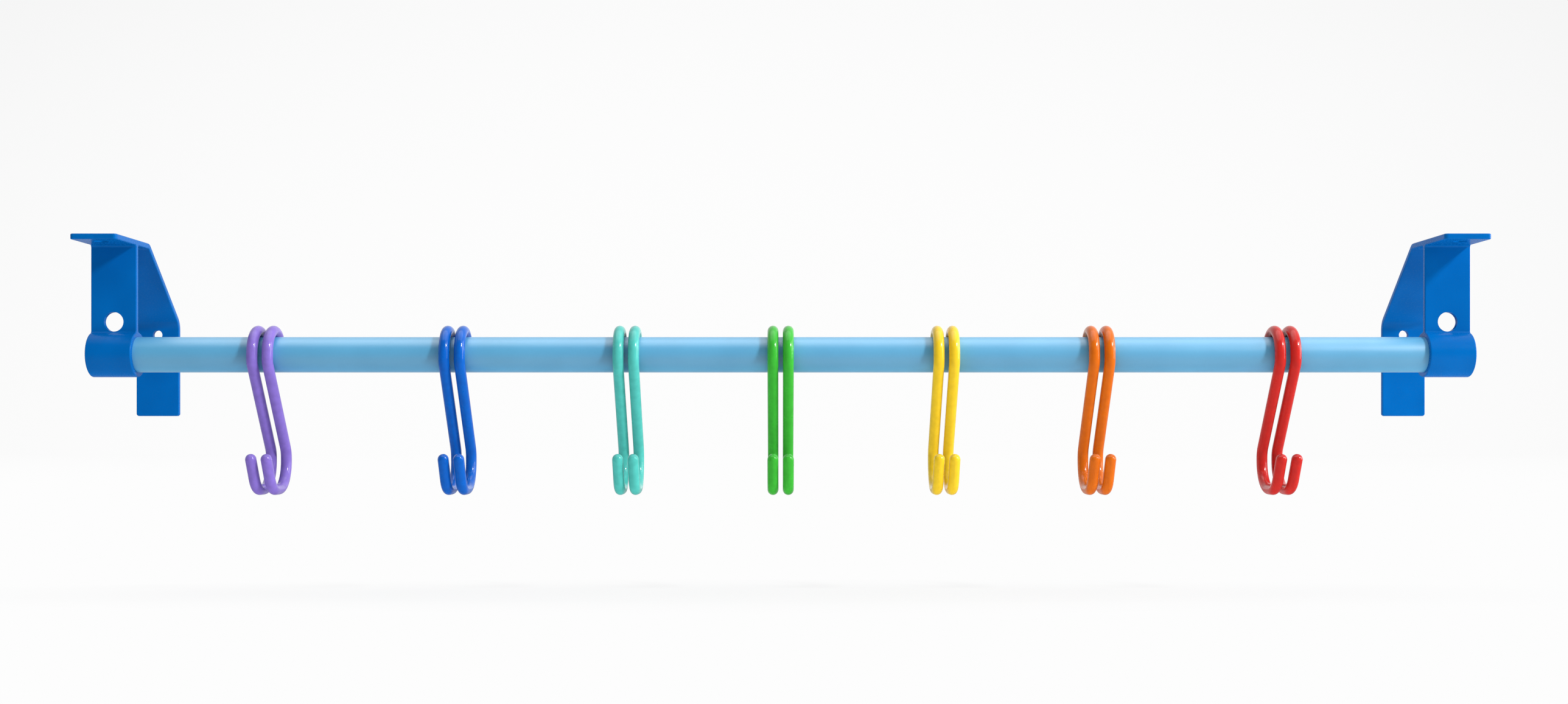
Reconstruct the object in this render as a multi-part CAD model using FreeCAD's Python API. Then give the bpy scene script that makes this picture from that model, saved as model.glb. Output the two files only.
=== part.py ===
import FreeCAD, Part
import math
import os

# Kitchen utensil rail: a round tube held between two extruded end brackets, with seven wire hooks.
# Millimetres. X runs along the rail, +Y points into the wall and +Z points up.
# The origin lies on the wall, midway between the two wall screws.

# Rail tube
rail_diameter = 16.0
rail_wall = 1.2
rail_to_wall = 57.0
rail_below_screws = 12.0
rail_end_recess = 2.0

# Brackets along the rail
screw_spacing = 600.0
bracket_width = 20.5

# Bracket section, with its heights and reaches measured from the rail's axis
section_wall = 2.5
flange_reach = 27.2
flange_depth = 42.0
flange_rise = 51.7
knee_rise = 18.0
plate_drop = 27.0
web_lead = 1.25
top_bend_radius = 4.5
knee_bend_radius = 8.0
root_radius = 1.2
socket_wall = 2.1
socket_clearance = 0.05

# Bracket edges
flange_corner_radius = 1.6
plate_corner_radius = 1.2
edge_radius = 0.5

# Bracket holes
wall_hole_diameter = 4.6
access_hole_diameter = 8.8
access_hole_rise = 14.7
flange_hole_diameter = 6.2
flange_hole_setback = 9.5

# Set screw that locks the tube in its socket, turned from straight down towards the wall
set_screw_diameter = 4.0
set_screw_length = 4.0
set_screw_clearance = 0.05
set_screw_turn = 50.0
hex_key = 2.0
hex_depth = 2.0
set_screw_bevel = 0.4

# End plug of the tube
plug_head_round = 0.5
plug_stem_length = 9.0
plug_core_diameter = 11.4
plug_barb_count = 3
plug_clearance = 0.05

# Hooks: two runs of wire side by side, with the points of the bend measured from the rail's axis
hook_wire_diameter = 4.9
hook_wire_gap = 2.0
hook_clearance = 0.2
hook_front_drop = 4.0
hook_front_bend = 4.6
hook_heel_back = 20.2
hook_heel_drop = 44.0
hook_heel_bend = 8.0
hook_seat_drop = 60.9
hook_seat_bend = 12.8
hook_toe_front = 3.8
hook_toe_bend = 10.0
hook_tip_front = 12.3
hook_tip_drop = 47.1

# Places of the hooks along the rail
hook_places = {
    "hook_purple": -232.0,
    "hook_blue": -146.5,
    "hook_turquoise": -69.0,
    "hook_green": 0.0,
    "hook_yellow": 74.0,
    "hook_orange": 143.2,
    "hook_red": 226.0,
}

# Worked-out sizes
rail_radius = rail_diameter / 2
rail_y = -rail_to_wall
rail_z = -rail_below_screws
socket_bore_radius = rail_radius + socket_clearance
socket_radius = socket_bore_radius + socket_wall
flange_front_y = rail_y - flange_reach
flange_rear_y = flange_front_y + flange_depth
flange_top_z = rail_z + flange_rise
knee_z = rail_z + knee_rise
plate_bottom_z = rail_z - plate_drop
web_front_y = rail_y - web_lead - section_wall / 2
web_rear_y = web_front_y + section_wall
rail_length = screw_spacing + bracket_width - 2 * rail_end_recess
tube_bore_radius = rail_radius - rail_wall
hook_wire_radius = hook_wire_diameter / 2
hook_wire_pitch = hook_wire_diameter + hook_wire_gap
hook_crown_radius = rail_radius + hook_clearance + hook_wire_radius


# Directions, and the distance under which two places count as one
along_rail = FreeCAD.Vector(1, 0, 0)
to_wall = FreeCAD.Vector(0, 1, 0)
upward = FreeCAD.Vector(0, 0, 1)
same_place = 0.001


def point(x, y, z):
    return FreeCAD.Vector(x, y, z)


def bent_path(points, radii):
    """Straight runs joined by tangent arcs, with one radius for each inner point."""
    edges = []
    start = points[0]
    for before, corner, after, radius in zip(points, points[1:], points[2:], radii):
        back = (before - corner).normalize()
        ahead = (after - corner).normalize()
        half_angle = back.getAngle(ahead) / 2
        setback = radius / math.tan(half_angle)
        enter = corner + back * setback
        leave = corner + ahead * setback
        inward = (back + ahead).normalize()
        middle = corner + inward * (radius / math.sin(half_angle) - radius)
        edges.append(Part.LineSegment(start, enter).toShape())
        edges.append(Part.Arc(enter, middle, leave).toShape())
        start = leave
    edges.append(Part.LineSegment(start, points[-1]).toShape())
    return edges


def edges_where(shape, test):
    return [edge for edge in shape.Edges if test(edge)]


def round_edges(shape, radius, test):
    return shape.makeFillet(radius, edges_where(shape, test))


def runs_along(edge, direction):
    """True for a straight edge that lies along the direction."""
    if edge.Curve.TypeId != "Part::GeomLine":
        return False
    return edge.Curve.Direction.cross(direction).Length < same_place


# Bracket
def folded_strip():
    """The flange, the slanted strap and the wall plate, as one bent strip of even thickness."""
    left = -bracket_width / 2
    outer_points = [
        point(left, flange_front_y, flange_top_z),
        point(left, flange_rear_y, flange_top_z),
        point(left, 0, knee_z),
        point(left, 0, plate_bottom_z),
    ]
    outer = Part.Wire(bent_path(outer_points, [top_bend_radius, knee_bend_radius]))
    section = outer.makeOffset2D(section_wall, 0, True, True)
    return section.extrude(along_rail * bracket_width)


def web_and_socket():
    """The hanging web and the round socket at its foot, still without its bore."""
    left = -bracket_width / 2
    web_height = flange_top_z - section_wall / 2 - rail_z
    web = Part.makeBox(bracket_width, section_wall, web_height, point(left, web_front_y, rail_z))
    socket = Part.makeCylinder(socket_radius, bracket_width, point(left, rail_y, rail_z), along_rail)
    return web.fuse(socket)


def is_root(edge):
    """The inside corners where the web meets the flange and the socket."""
    place = edge.CenterOfMass
    on_front = abs(place.y - web_front_y) < same_place
    on_rear = abs(place.y - web_rear_y) < same_place
    return runs_along(edge, along_rail) and (on_front or on_rear)


def is_flange_corner(edge):
    return runs_along(edge, upward) and abs(edge.CenterOfMass.y - flange_front_y) < same_place


def is_plate_corner(edge):
    return runs_along(edge, to_wall) and abs(edge.CenterOfMass.z - plate_bottom_z) < same_place


def is_cut_end(edge):
    """The outline of the section on the two sawn ends."""
    box = edge.BoundBox
    return box.XLength < same_place and abs(abs(box.Center.x) - bracket_width / 2) < same_place


def bracket_blank():
    """A cut length of the section with rounded inside corners, plate corners and ends."""
    blank = folded_strip().fuse(web_and_socket()).removeSplitter()
    blank = round_edges(blank, root_radius, is_root)
    blank = round_edges(blank, flange_corner_radius, is_flange_corner)
    blank = round_edges(blank, plate_corner_radius, is_plate_corner)
    return round_edges(blank, edge_radius, is_cut_end)


def bracket_holes():
    """The socket's bore, the three screw holes and the set screw's hole, as one cutter."""
    bore_start = point(-bracket_width / 2, rail_y, rail_z)
    bore = Part.makeCylinder(socket_bore_radius, bracket_width, bore_start, along_rail)
    wall_hole = Part.makeCylinder(
        wall_hole_diameter / 2, section_wall, point(0, -section_wall, 0), to_wall)
    access_hole = Part.makeCylinder(
        access_hole_diameter / 2, section_wall + 2 * root_radius,
        point(0, web_front_y - root_radius, rail_z + access_hole_rise), to_wall)
    flange_hole = Part.makeCylinder(
        flange_hole_diameter / 2, section_wall,
        point(0, flange_front_y + flange_hole_setback, flange_top_z - section_wall), upward)
    set_screw_hole = Part.makeCylinder(
        set_screw_diameter / 2 + set_screw_clearance, socket_radius + section_wall,
        point(0, rail_y, rail_z), set_screw_direction())
    return bore.multiFuse([wall_hole, access_hole, flange_hole, set_screw_hole])


def bracket():
    """The end bracket about the middle of its width."""
    return bracket_blank().cut(bracket_holes())


# Rail tube
def rail_tube():
    start = point(-rail_length / 2, rail_y, rail_z)
    outside = Part.makeCylinder(rail_radius, rail_length, start, along_rail)
    inside = Part.makeCylinder(tube_bore_radius, rail_length, start, along_rail)
    return outside.cut(inside)


def set_screw_direction():
    turn = math.radians(set_screw_turn)
    return point(0, math.sin(turn), -math.cos(turn))


def set_screw():
    """A socket set screw about the middle of the bracket's width, with its tip on the tube."""
    direction = set_screw_direction()
    tip = point(0, rail_y, rail_z) + direction * socket_bore_radius
    screw = Part.makeCylinder(set_screw_diameter / 2, set_screw_length, tip, direction)
    screw = screw.makeChamfer(set_screw_bevel, edges_where(screw, is_round))
    across_corners = hex_key / math.cos(math.radians(30))
    corners = [turned(across_corners / 2, 60 * step, direction) for step in range(7)]
    head = tip + direction * set_screw_length
    hexagon = Part.Face(Part.makePolygon([head + corner for corner in corners]))
    return screw.cut(hexagon.extrude(direction * -hex_depth))


def is_round(edge):
    return edge.Curve.TypeId == "Part::GeomCircle"


def turned(radius, degrees, direction):
    """A point on a circle round the direction, which lies across the rail."""
    across = along_rail.cross(direction)
    angle = math.radians(degrees)
    return along_rail * (radius * math.cos(angle)) + across * (radius * math.sin(angle))


def end_plug():
    """The plug of the right end: a flat head against the tube's end and a barbed stem inside it."""
    seat = point(rail_length / 2, rail_y, rail_z)
    head = Part.makeCylinder(rail_radius, rail_end_recess, seat, along_rail)
    outer_rim = edges_where(head, lambda edge: is_round(edge) and edge.CenterOfMass.x > seat.x + same_place)
    plug = head.makeFillet(plug_head_round, outer_rim)
    plug = plug.fuse(Part.makeCylinder(plug_core_diameter / 2, plug_stem_length, seat, -along_rail))
    barb_pitch = plug_stem_length / plug_barb_count
    for step in range(plug_barb_count):
        base = seat - along_rail * (step * barb_pitch)
        plug = plug.fuse(Part.makeCone(
            tube_bore_radius - plug_clearance, plug_core_diameter / 2, barb_pitch, base, -along_rail))
    return plug.removeSplitter()


# Hooks
def hook_front(x):
    """One run of wire from the front of the rail down to its free end, at the side x."""
    bends = [
        (-hook_crown_radius, 0),
        (-hook_crown_radius, -hook_front_drop),
        (hook_heel_back, -hook_heel_drop),
        (hook_heel_back, -hook_seat_drop),
        (-hook_toe_front, -hook_seat_drop),
        (-hook_tip_front, -hook_tip_drop),
    ]
    points = [point(x, rail_y + back, rail_z + up) for back, up in bends]
    return bent_path(points, [hook_front_bend, hook_heel_bend, hook_seat_bend, hook_toe_bend])


def hook_crown(x):
    """The half turn of the wire over the rail."""
    front = point(x, rail_y - hook_crown_radius, rail_z)
    top = point(x, rail_y, rail_z + hook_crown_radius)
    rear = point(x, rail_y + hook_crown_radius, rail_z)
    return Part.Arc(front, top, rear).toShape()


def hook_hairpin():
    """The half turn behind the rail that joins the two runs of wire."""
    side = hook_wire_pitch / 2
    rear_y = rail_y + hook_crown_radius
    left = point(-side, rear_y, rail_z)
    middle = point(0, rear_y, rail_z - side)
    right = point(side, rear_y, rail_z)
    return Part.Arc(left, middle, right).toShape()


def hook():
    """A hook of one wire, bent double, about the middle between its two runs."""
    side = hook_wire_pitch / 2
    edges = hook_front(-side) + [hook_crown(-side), hook_hairpin(), hook_crown(side)] + hook_front(side)
    path = Part.Wire(Part.sortEdges(edges)[0])
    ends = [vertex.Point for vertex in path.OrderedVertexes]
    first_edge = path.OrderedEdges[0]
    toward = first_edge.tangentAt(first_edge.FirstParameter)
    section = Part.Wire(Part.Circle(ends[0], toward, hook_wire_radius).toShape())
    wire = path.makePipeShell([section], True, False)
    tips = [Part.makeSphere(hook_wire_radius, end) for end in (ends[0], ends[-1])]
    return wire.multiFuse(tips).removeSplitter()


def moved_along(shape, x):
    return shape.translated(along_rail * x)


def pieces():
    """Every piece of the rail, by name."""
    bracket_place = screw_spacing / 2
    right_plug = end_plug()
    named = {
        "left_bracket": moved_along(bracket(), -bracket_place),
        "right_bracket": moved_along(bracket(), bracket_place),
        "rail_tube": rail_tube(),
        "left_end_plug": right_plug.mirror(point(0, 0, 0), along_rail),
        "right_end_plug": right_plug,
        "left_set_screw": moved_along(set_screw(), -bracket_place),
        "right_set_screw": moved_along(set_screw(), bracket_place),
    }
    one_hook = hook()
    for name, place in hook_places.items():
        named[name] = moved_along(one_hook, place)
    return named


def main():
    os.makedirs("parts", exist_ok=True)
    for name, shape in pieces().items():
        shape.exportStep(f"parts/{name}.step")
        print(name, len(shape.Solids), "solid,", round(shape.Volume), "cubic mm")


if __name__ == "__main__":
    main()
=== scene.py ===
# %% [markdown]
# # A kitchen utensil rail with seven coloured hooks
# The real object is a light blue tube held between two blue brackets, and seven coated wire hooks hang on the tube
# in rainbow order. Every solid of it comes from the CAD frame, already at its place, so this lesson is about looks:
# what each surface is made of, how it takes the light, and how the studio round it is set up.

# %% Load the solids and keep their box
import math

import bpy
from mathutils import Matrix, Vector

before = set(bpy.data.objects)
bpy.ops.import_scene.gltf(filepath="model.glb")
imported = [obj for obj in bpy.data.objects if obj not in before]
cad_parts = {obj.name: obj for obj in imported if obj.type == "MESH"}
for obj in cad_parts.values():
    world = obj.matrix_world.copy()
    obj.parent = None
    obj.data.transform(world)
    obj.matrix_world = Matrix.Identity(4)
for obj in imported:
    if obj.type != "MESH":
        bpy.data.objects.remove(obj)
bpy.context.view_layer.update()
bpy.ops.object.select_all(action="DESELECT")
print("solids:", ", ".join(sorted(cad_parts)))

# %% [markdown]
# ## A few small helpers
# Paint is given as an sRGB hex value, and a shader wants linear light, so one function turns the first into
# the second. A material is a chain of nodes, and another function adds one node with its settings and its links,
# which keeps each finish readable as a list of steps. Two more start an empty material and put a finished one on its
# pieces. Blender counts in metres, so a real size in millimetres is written as a number times MM.

# %% Colour and node helpers
def linear(hex_colour):
    channels = [int(hex_colour[i:i + 2], 16) / 255 for i in (1, 3, 5)]
    return [c / 12.92 if c <= 0.04045 else ((c + 0.055) / 1.055) ** 2.4 for c in channels] + [1.0]


def add_node(tree, kind, settings=None, links=None):
    node = tree.nodes.new(kind)
    for name, value in (settings or {}).items():
        if isinstance(name, int) or name in node.inputs:
            node.inputs[name].default_value = value
        else:
            setattr(node, name, value)
    for name, source in (links or {}).items():
        tree.links.new(source, node.inputs[name])
    return node


def empty_material(name):
    material = bpy.data.materials.new(name)
    material.use_nodes = True
    material.node_tree.nodes.clear()
    return material


def dress(material, *names):
    for name in names:
        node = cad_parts[name]
        node.data.materials.clear()
        node.data.materials.append(material)
    print(material.name, "on", ", ".join(names))


MM = 0.001

# %% [markdown]
# ## Powder coat on the brackets and the rail
# The brackets and the tube are aluminium, sprayed with dry polyester powder and baked. The powder melts into a film
# about 0.08 mm thick that never flows quite flat: it keeps a fine orange peel, waves about 1 mm apart and a few
# hundredths of a millimetre high, and it lies a little thicker in some places than in others. To the eye that gives a
# satin skin, with soft broad highlights, a very fine grain, and edges that catch the light. The brackets are a deep
# blue that hardly mirrors the white room. The tube has to let the hooks slide, so it is slicker: a clear lacquer lies
# on its powder, and its top carries a much stronger band of light. An image texture could hold the grain, but noise
# worked out from real sizes fits every face without a seam.

# %% Make the powder coat
PEEL = 0.7 * MM
PEEL_HEIGHT = 0.02 * MM
FILM_DRIFT = 18 * MM


# sheen is how much the powder itself mirrors, and lacquer is the weight of the clear film on it
def powder_coat(name, thin, thick, roughness, sheen, lacquer):
    material = empty_material(name)
    tree = material.node_tree
    place = add_node(tree, "ShaderNodeTexCoord").outputs["Object"]
    grain = add_node(tree, "ShaderNodeTexNoise", {"Scale": 1 / PEEL, "Detail": 2.0, "Roughness": 0.6},
                     {"Vector": place})
    drift = add_node(tree, "ShaderNodeTexNoise", {"Scale": 1 / FILM_DRIFT, "Detail": 1.0}, {"Vector": place})
    # the drift of the film shifts the colour slowly, and the grain speckles it
    film = add_node(tree, "ShaderNodeMath", {"operation": "MULTIPLY_ADD", 1: 0.5},
                    {0: grain.outputs["Fac"], 2: drift.outputs["Fac"]})
    shade = add_node(tree, "ShaderNodeMapRange", {"From Min": 0.45, "From Max": 1.05},
                     {"Value": film.outputs["Value"]})
    colour = add_node(tree, "ShaderNodeMix", {"data_type": "RGBA", 6: linear(thin), 7: linear(thick)},
                      {0: shade.outputs["Result"]})
    satin = add_node(tree, "ShaderNodeMapRange", {"From Min": 0.3, "From Max": 0.7, "To Min": roughness - 0.04,
                                                  "To Max": roughness + 0.04}, {"Value": grain.outputs["Fac"]})
    peel_bump = add_node(tree, "ShaderNodeBump", {"Strength": 0.15, "Distance": PEEL_HEIGHT},
                         {"Height": grain.outputs["Fac"]})
    coat = add_node(tree, "ShaderNodeBsdfPrincipled",
                    {"IOR": 1.5, "Specular IOR Level": sheen, "Coat Weight": lacquer, "Coat Roughness": roughness},
                    {"Base Color": colour.outputs[2], "Roughness": satin.outputs["Result"],
                     "Normal": peel_bump.outputs["Normal"]})
    add_node(tree, "ShaderNodeOutputMaterial", None, {"Surface": coat.outputs["BSDF"]})
    return material


# %% Dress the brackets and the tube
dress(powder_coat("blue_powder_coat", "#0064B2", "#0059A2", roughness=0.26, sheen=0.07, lacquer=0.0),
      "left_bracket", "right_bracket")
dress(powder_coat("light_blue_powder_coat", "#55A5CF", "#4E9EC8", roughness=0.41, sheen=0.9, lacquer=1.0),
      "rail_tube")

# %% [markdown]
# ## Lacquered enamel on the hooks
# Each hook is one length of 5 mm steel wire, bent cold and then coated. The enamel is opaque and satin, and keeps
# its full colour up to the wire's edge. The clear lacquer over it is glossy: the lamps show in it as short crisp
# streaks on the crown, in the lower bend and on the tips. Both have long lazy waves, about 3 mm, from the way the coat
# sags on the wire before it sets. One function makes all seven colours, since only the pigment changes.

# %% Make the enamel
SAG = 3 * MM
SAG_HEIGHT = 0.04 * MM
ENAMEL_ROUGHNESS = 0.3
LACQUER_ROUGHNESS = 0.1


def hook_enamel(name, pigment, shadow):
    material = empty_material(name)
    tree = material.node_tree
    place = add_node(tree, "ShaderNodeTexCoord").outputs["Object"]
    sag = add_node(tree, "ShaderNodeTexNoise", {"Scale": 1 / SAG, "Detail": 1.5}, {"Vector": place})
    shade = add_node(tree, "ShaderNodeMapRange", {"From Min": 0.3, "From Max": 0.7}, {"Value": sag.outputs["Fac"]})
    colour = add_node(tree, "ShaderNodeMix", {"data_type": "RGBA", 6: linear(pigment), 7: linear(shadow)},
                      {0: shade.outputs["Result"]})
    gloss = add_node(tree, "ShaderNodeMapRange",
                     {"From Min": 0.3, "From Max": 0.7, "To Min": ENAMEL_ROUGHNESS - 0.03,
                      "To Max": ENAMEL_ROUGHNESS + 0.03}, {"Value": sag.outputs["Fac"]})
    ripple = add_node(tree, "ShaderNodeBump", {"Strength": 0.12, "Distance": SAG_HEIGHT},
                      {"Height": sag.outputs["Fac"]})
    enamel = add_node(tree, "ShaderNodeBsdfPrincipled",
                      {"IOR": 1.5, "Specular IOR Level": 0.1, "Coat Weight": 0.5,
                       "Coat Roughness": LACQUER_ROUGHNESS},
                      {"Base Color": colour.outputs[2], "Roughness": gloss.outputs["Result"],
                       "Normal": ripple.outputs["Normal"]})
    add_node(tree, "ShaderNodeOutputMaterial", None, {"Surface": enamel.outputs["BSDF"]})
    return material


# %% Dress the seven hooks
# pigment where the coat is full, and the slightly darker shade where it has sagged
hook_colours = {
    "purple": ("#816AC1", "#7963B6"),
    "blue": ("#055CBA", "#0455B0"),
    "turquoise": ("#4FBAB1", "#48B0A7"),
    "green": ("#3AAE34", "#36A430"),
    "yellow": ("#E9C327", "#E0BA23"),
    "orange": ("#D2660D", "#CA600C"),
    "red": ("#C22822", "#B92420"),
}
for colour_name, (pigment, shadow) in hook_colours.items():
    dress(hook_enamel(f"{colour_name}_enamel", pigment, shadow), f"hook_{colour_name}")

# %% [markdown]
# ## Moulded plugs and zinc-plated set screws
# The plugs in the tube's ends are polyethylene, injection moulded in a spark-eroded tool, which leaves a dull, evenly
# pitted skin. The set screws are steel with a thin bright zinc layer, a little cloudy from the plating bath.

# %% Make the plug plastic
PIT = 0.35 * MM
PIT_DEPTH = 0.02 * MM

plug_plastic = empty_material("moulded_polyethylene")
tree = plug_plastic.node_tree
place = add_node(tree, "ShaderNodeTexCoord").outputs["Object"]
pits = add_node(tree, "ShaderNodeTexNoise", {"Scale": 1 / PIT, "Detail": 2.0}, {"Vector": place})
dull = add_node(tree, "ShaderNodeMapRange", {"To Min": 0.46, "To Max": 0.62}, {"Value": pits.outputs["Fac"]})
pit_bump = add_node(tree, "ShaderNodeBump", {"Strength": 0.3, "Distance": PIT_DEPTH},
                    {"Height": pits.outputs["Fac"]})
plastic = add_node(tree, "ShaderNodeBsdfPrincipled", {"Base Color": linear("#0A4F94"), "IOR": 1.51},
                   {"Roughness": dull.outputs["Result"], "Normal": pit_bump.outputs["Normal"]})
add_node(tree, "ShaderNodeOutputMaterial", None, {"Surface": plastic.outputs["BSDF"]})
dress(plug_plastic, "left_end_plug", "right_end_plug")

# %% Make the zinc plate
ZINC_CLOUD = 0.6 * MM

zinc_plate = empty_material("zinc_plated_steel")
tree = zinc_plate.node_tree
place = add_node(tree, "ShaderNodeTexCoord").outputs["Object"]
spangle = add_node(tree, "ShaderNodeTexNoise", {"Scale": 1 / ZINC_CLOUD, "Detail": 3.0}, {"Vector": place})
tone = add_node(tree, "ShaderNodeMix", {"data_type": "RGBA", 6: linear("#B9BDC2"), 7: linear("#D2D3D0")},
                {0: spangle.outputs["Fac"]})
polish = add_node(tree, "ShaderNodeMapRange", {"To Min": 0.24, "To Max": 0.4}, {"Value": spangle.outputs["Fac"]})
zinc = add_node(tree, "ShaderNodeBsdfPrincipled", {"Metallic": 1.0},
                {"Base Color": tone.outputs[2], "Roughness": polish.outputs["Result"]})
add_node(tree, "ShaderNodeOutputMaterial", None, {"Surface": zinc.outputs["BSDF"]})
dress(zinc_plate, "left_set_screw", "right_set_screw")

# %% [markdown]
# ## The floor
# The photograph is a pack shot: white all round, and only a breath of shadow under the hooks. The floor is a large
# plane below them. The camera sees it as plain white, with a small share of real paint mixed in along a strip under
# the rail to take that shadow. Reflections see it dimmer, so that the strong colours keep their depth. To every other
# ray it is an ordinary pale floor, which throws light up under the object.

# %% Lay the floor
FLOOR_Z = -0.120
FLOOR_SIZE = 14

bpy.ops.mesh.primitive_plane_add(size=FLOOR_SIZE, location=(0, 0, FLOOR_Z))
floor = bpy.context.object
floor.name = "floor"
print("floor at", FLOOR_Z, "m")


# %% Tell the rays that show a thing from those that light it
# 1 for a ray that shows it to the camera, straight on, mirrored or through glass, and 0 for one that lights
def showing_rays(tree, rays):
    looks = add_node(tree, "ShaderNodeMath", {"operation": "ADD"},
                     {0: rays["Is Camera Ray"], 1: rays["Is Glossy Ray"]})
    shows = add_node(tree, "ShaderNodeMath", {"operation": "ADD", "use_clamp": True},
                     {0: looks.outputs["Value"], 1: rays["Is Transmission Ray"]})
    return shows.outputs["Value"]


# %% Make the white that the floor shows
MIRRORED_FRONT, MIRRORED_BACK = 0.06, 0.45
FAR_SIDE_LEVEL = 0.977

floor_paint = empty_material("white_floor_paint")
tree = floor_paint.node_tree
rays = add_node(tree, "ShaderNodeLightPath").outputs
place = add_node(tree, "ShaderNodeTexCoord").outputs["Object"]
spot = add_node(tree, "ShaderNodeSeparateXYZ", None, {"Vector": place}).outputs
# in front of the rail the paper ends, so the dim studio mirrors there; the camera sees white everywhere
sweep = add_node(tree, "ShaderNodeMapRange", {"From Min": -0.03, "From Max": 0.1, "To Min": MIRRORED_FRONT,
                                              "To Max": MIRRORED_BACK}, {"Value": spot["Y"]})
paper = add_node(tree, "ShaderNodeMath", {"operation": "MAXIMUM"},
                 {0: sweep.outputs["Result"], 1: rays["Is Camera Ray"]})
# far out to both sides it dims a little, to meet the darker ends of the backdrop without a line
aside = add_node(tree, "ShaderNodeMath", {"operation": "ABSOLUTE"}, {0: spot["X"]})
fade = add_node(tree, "ShaderNodeMapRange", {"From Min": 1.2, "From Max": 3.4, "To Min": 1.0,
                                             "To Max": FAR_SIDE_LEVEL}, {"Value": aside.outputs["Value"]})
level = add_node(tree, "ShaderNodeMath", {"operation": "MULTIPLY"},
                 {0: paper.outputs["Value"], 1: fade.outputs["Result"]})
white = add_node(tree, "ShaderNodeEmission", {"Color": linear("#FDFDFD")}, {"Strength": level.outputs["Value"]})

# %% Mix in the strip that takes the shadow
STRIP_STRETCH = (0.85, 4, 0)
STRIP_SHIFT = (0, 0.24, 0)
STRIP_SHARE = 0.17

# the stretch makes a circle of the long oval under the rail, and the distance from its middle then sets the share
oval = add_node(tree, "ShaderNodeVectorMath", {"operation": "MULTIPLY_ADD", 1: STRIP_STRETCH, 2: STRIP_SHIFT},
                {0: place})
reach = add_node(tree, "ShaderNodeVectorMath", {"operation": "LENGTH"}, {0: oval.outputs["Vector"]})
near = add_node(tree, "ShaderNodeMapRange",
                {"From Min": 0.16, "From Max": 0.36, "To Min": STRIP_SHARE, "To Max": 0.0},
                {"Value": reach.outputs["Value"]})
share = add_node(tree, "ShaderNodeMath", {"operation": "MULTIPLY"},
                 {0: near.outputs["Result"], 1: rays["Is Camera Ray"]})
# the paint is greyer to the right, nearer the lamps, so that the lit floor looks one even white
even = add_node(tree, "ShaderNodeMapRange", {"From Min": -0.35, "From Max": 0.35}, {"Value": spot["X"]})
grey = add_node(tree, "ShaderNodeMix", {"data_type": "RGBA", 6: linear("#EAEAEA"), 7: linear("#D3D3D3")},
                {0: even.outputs["Result"]})
shaded = add_node(tree, "ShaderNodeBsdfDiffuse", None, {"Color": grey.outputs[2]})
seen = add_node(tree, "ShaderNodeMixShader", None, {0: share.outputs["Value"], 1: white.outputs["Emission"],
                                                    2: shaded.outputs["BSDF"]})

# %% Put the floor paint together
paint = add_node(tree, "ShaderNodeBsdfDiffuse", {"Color": linear("#F3F3F3")})
either = add_node(tree, "ShaderNodeMixShader", None, {0: showing_rays(tree, rays), 1: paint.outputs["BSDF"],
                                                      2: seen.outputs["Shader"]})
add_node(tree, "ShaderNodeOutputMaterial", None, {"Surface": either.outputs["Shader"]})
# the white is there to be seen and not to light the object, so it isn't searched as a lamp, which would waste rays
floor_paint.cycles.emission_sampling = "NONE"
floor.data.materials.append(floor_paint)
print(floor_paint.name, "on", floor.name)

# %% [markdown]
# ## The white room
# The world does two jobs. What the camera and the reflections see is the white paper behind the object, and the dim
# studio behind the camera. What lights the object is a weaker, even glow, so that colours render about as they are
# written and nothing burns out. The paper falls off a little towards its corners, as it does in the photograph.

# %% Show the white paper and the dim studio
PAPER_MIDDLE, PAPER_CORNER = 0.98, 0.905
STUDIO_LEVEL = 0.12

world = bpy.data.worlds.new("white_room")
bpy.context.scene.world = world
world.use_nodes = True
tree = world.node_tree
tree.nodes.clear()
rays = add_node(tree, "ShaderNodeLightPath").outputs
way = add_node(tree, "ShaderNodeTexCoord").outputs["Generated"]
turn = add_node(tree, "ShaderNodeSeparateXYZ", None, {"Vector": way})
flat = add_node(tree, "ShaderNodeVectorMath", {"operation": "MULTIPLY", 1: (0.6, 0, 1)}, {0: way})
aside = add_node(tree, "ShaderNodeVectorMath", {"operation": "LENGTH"}, {0: flat.outputs["Vector"]})
steep = add_node(tree, "ShaderNodeMath", {"operation": "POWER", 1: 4.0}, {0: aside.outputs["Value"]})
corner = add_node(tree, "ShaderNodeMapRange", {"From Max": 0.012, "To Min": PAPER_MIDDLE, "To Max": PAPER_CORNER},
                  {"Value": steep.outputs["Value"]})
behind = add_node(tree, "ShaderNodeMapRange", {"From Min": -0.3, "From Max": 0.0, "To Min": STUDIO_LEVEL,
                                               "To Max": 1.0}, {"Value": turn.outputs["Y"]})
backdrop = add_node(tree, "ShaderNodeMath", {"operation": "MAXIMUM"},
                    {0: behind.outputs["Result"], 1: rays["Is Camera Ray"]})
shine = add_node(tree, "ShaderNodeMath", {"operation": "MULTIPLY"},
                 {0: corner.outputs["Result"], 1: backdrop.outputs["Value"]})
paper = add_node(tree, "ShaderNodeBackground", {"Color": linear("#FFFFFF")}, {"Strength": shine.outputs["Value"]})

# %% Light the object with an even glow
GLOW_LEVEL = 0.17

# no glow comes from straight behind the camera, where it would flatten the fronts
fill = add_node(tree, "ShaderNodeMapRange",
                {"From Min": -0.98, "From Max": -0.75, "To Min": 0.0, "To Max": GLOW_LEVEL},
                {"Value": turn.outputs["Y"]})
glow = add_node(tree, "ShaderNodeBackground", {"Color": linear("#FFFFFF")}, {"Strength": fill.outputs["Result"]})
either = add_node(tree, "ShaderNodeMixShader", None, {0: showing_rays(tree, rays), 1: glow.outputs["Background"],
                                                      2: paper.outputs["Background"]})
add_node(tree, "ShaderNodeOutputWorld", None, {"Surface": either.outputs["Shader"]})
print("world:", world.name, "with a glow of", GLOW_LEVEL)

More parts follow.
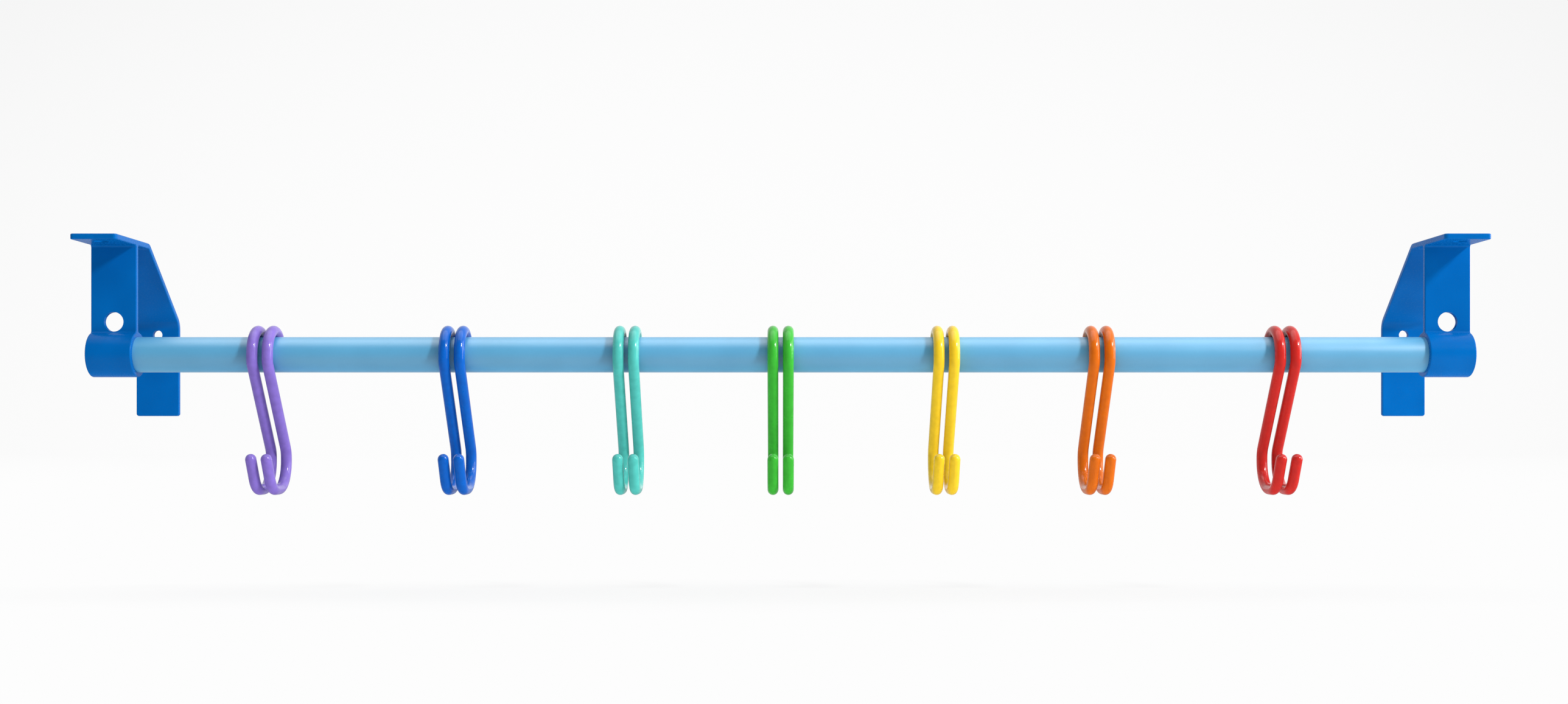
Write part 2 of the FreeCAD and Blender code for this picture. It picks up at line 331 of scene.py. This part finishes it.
# %% [markdown]
# ## Three softboxes and a light table
# The shading on the object gives the lights away. The flange throws a slanted, fairly crisp shadow to the lower left
# of the bracket, and a fine streak sits on the right of each wire, so a small key stands far off, to the right of the
# camera and above the rail. Faces turned to the right are the brightest, so a large box lights them from the side.
# The top of the tube carries a broad soft band along its whole length, which only a long box overhead can give.
# Undersides are as bright as the fronts, so a light table glows under the rail. It is kept out of the reflections,
# where it would show as a white bar.

# %% Hang the lamps
RAIL_Y, RAIL_Z = -0.057, -0.012
RAIL = Vector((0, RAIL_Y, RAIL_Z))
ABOVE_FLOOR = 0.5 * MM


def softbox(name, place, width, height, watts, mirrored=True):
    bpy.ops.object.light_add(type="AREA", location=place)
    lamp = bpy.context.object
    lamp.name = name
    lamp.rotation_euler = (Vector(place) - RAIL).to_track_quat("Z", "Y").to_euler()
    lamp.data.shape = "RECTANGLE"
    lamp.data.size = width
    lamp.data.size_y = height
    lamp.data.energy = watts
    lamp.visible_camera = False
    lamp.visible_glossy = mirrored
    print(name, "at", place, watts, "W")


softbox("key_softbox", (1.86, -1.38, 1.40), width=0.36, height=0.36, watts=57.0)
softbox("side_softbox", (1.6, -0.1, 0.45), width=0.9, height=0.9, watts=15.0)
softbox("overhead_softbox", (0.0, -0.17, 1.07), width=1.6, height=1.05, watts=9.2)
softbox("table_light", (0.0, RAIL_Y, FLOOR_Z + ABOVE_FLOOR), width=1.2, height=0.5, watts=0.82, mirrored=False)

# %% [markdown]
# ## The camera
# The photograph looks straight at the wall, from the middle of the rail and a little below it. Upright edges stay
# upright, which means that the camera is level and that its lens is shifted to frame the rail. The rail's known
# length and the sizes of the near and far bracket faces give the distance.

# %% Place the camera
CAMERA_PLACE = (0, -0.8672, -0.0496)
LEVEL = math.radians(90)

bpy.ops.object.camera_add(location=CAMERA_PLACE, rotation=(LEVEL, 0, 0))
camera = bpy.context.object
camera.name = "photo_camera"
camera.data.sensor_width = 36
camera.data.lens = 41.23
camera.data.shift_x = 0.00214
camera.data.shift_y = 0.0549
bpy.context.scene.camera = camera
bpy.context.scene.view_settings.view_transform = "Standard"
print("camera at", [round(v, 3) for v in camera.location])
